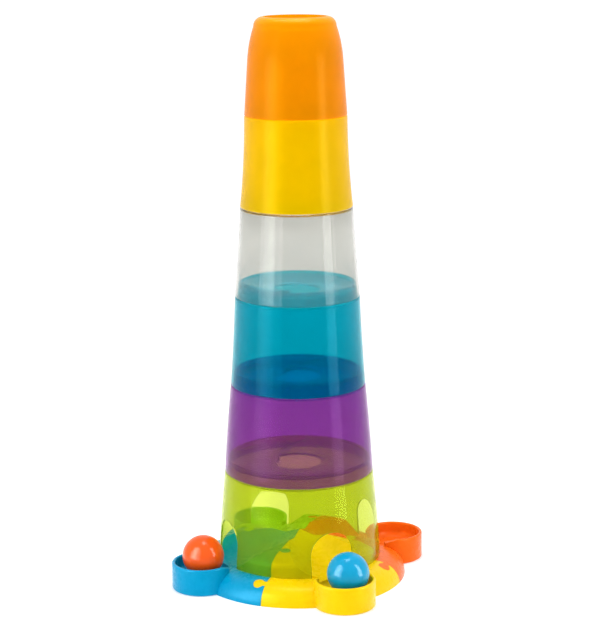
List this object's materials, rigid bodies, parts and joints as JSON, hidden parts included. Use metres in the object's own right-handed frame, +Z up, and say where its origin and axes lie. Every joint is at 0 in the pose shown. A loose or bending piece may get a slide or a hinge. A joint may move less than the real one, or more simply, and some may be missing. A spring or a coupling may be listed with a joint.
{
  "type": "stacking cup tower",
  "caption": "Tower of upturned see-through stacking cups with spiral floors, on a jigsaw base whose round trays catch the balls that roll out of arches in the lowest cup.",
  "frame": {"origin": "on the ground under the middle of the tower", "axes": "+Z up along the tower; the yellow tray lies towards -Y and the orange one towards +X"},
  "size_m": [0.2968, 0.2968, 0.6085],
  "materials": {
    "orange_plastic": "gloss",
    "yellow_plastic": "gloss",
    "clear_plastic": "translucent gloss",
    "teal_plastic": "translucent gloss",
    "purple_plastic": "translucent gloss",
    "lime_plastic": "translucent gloss",
    "base_blue_plastic": "gloss",
    "base_yellow_plastic": "gloss",
    "base_orange_plastic": "gloss",
    "base_green_plastic": "gloss",
    "ball_orange_plastic": "gloss",
    "ball_blue_plastic": "gloss"
  },
  "bodies": {
    "base_yellow": {"base_yellow": "base_yellow_plastic"},
    "base_orange": {"base_orange": "base_orange_plastic"},
    "base_green": {"base_green": "base_green_plastic"},
    "base_blue": {"base_blue": "base_blue_plastic"},
    "cup_lime": {"cup_lime": "lime_plastic"},
    "cup_purple": {"cup_purple": "purple_plastic"},
    "cup_teal": {"cup_teal": "teal_plastic"},
    "cup_clear": {"cup_clear": "clear_plastic"},
    "cup_yellow": {"cup_yellow": "yellow_plastic"},
    "cup_orange": {"cup_orange": "orange_plastic"},
    "ball_orange": {"ball_orange": "ball_orange_plastic"},
    "ball_blue": {"ball_blue": "ball_blue_plastic"}
  },
  "joints": [
    {"name": "base_orange_unhook", "type": "slide", "parent": "base_yellow", "child": "base_orange", "axis": [0, 0, -1], "range_m": [0, 0.05]},
    {"name": "base_green_unhook", "type": "slide", "parent": "base_yellow", "child": "base_green", "axis": [0, 0, -1], "range_m": [0, 0.05]},
    {"name": "base_blue_unhook", "type": "slide", "parent": "base_yellow", "child": "base_blue", "axis": [0, 0, -1], "range_m": [0, 0.05]},
    {"name": "cup_lime_lift", "type": "slide", "parent": "base_yellow", "child": "cup_lime", "axis": [0, 0, 1], "range_m": [0, 0.12]},
    {"name": "cup_purple_lift", "type": "slide", "parent": "cup_lime", "child": "cup_purple", "axis": [0, 0, 1], "range_m": [0, 0.12]},
    {"name": "cup_teal_lift", "type": "slide", "parent": "cup_purple", "child": "cup_teal", "axis": [0, 0, 1], "range_m": [0, 0.12]},
    {"name": "cup_clear_lift", "type": "slide", "parent": "cup_teal", "child": "cup_clear", "axis": [0, 0, 1], "range_m": [0, 0.12]},
    {"name": "cup_yellow_lift", "type": "slide", "parent": "cup_clear", "child": "cup_yellow", "axis": [0, 0, 1], "range_m": [0, 0.12]},
    {"name": "cup_orange_lift", "type": "slide", "parent": "cup_yellow", "child": "cup_orange", "axis": [0, 0, 1], "range_m": [0, 0.12]},
    {"name": "ball_orange_lift", "type": "slide", "parent": "base_blue", "child": "ball_orange", "axis": [0, 0, 1], "range_m": [0, 0.06]},
    {"name": "ball_blue_lift", "type": "slide", "parent": "base_yellow", "child": "ball_blue", "axis": [0, 0, 1], "range_m": [0, 0.06]}
  ]
}
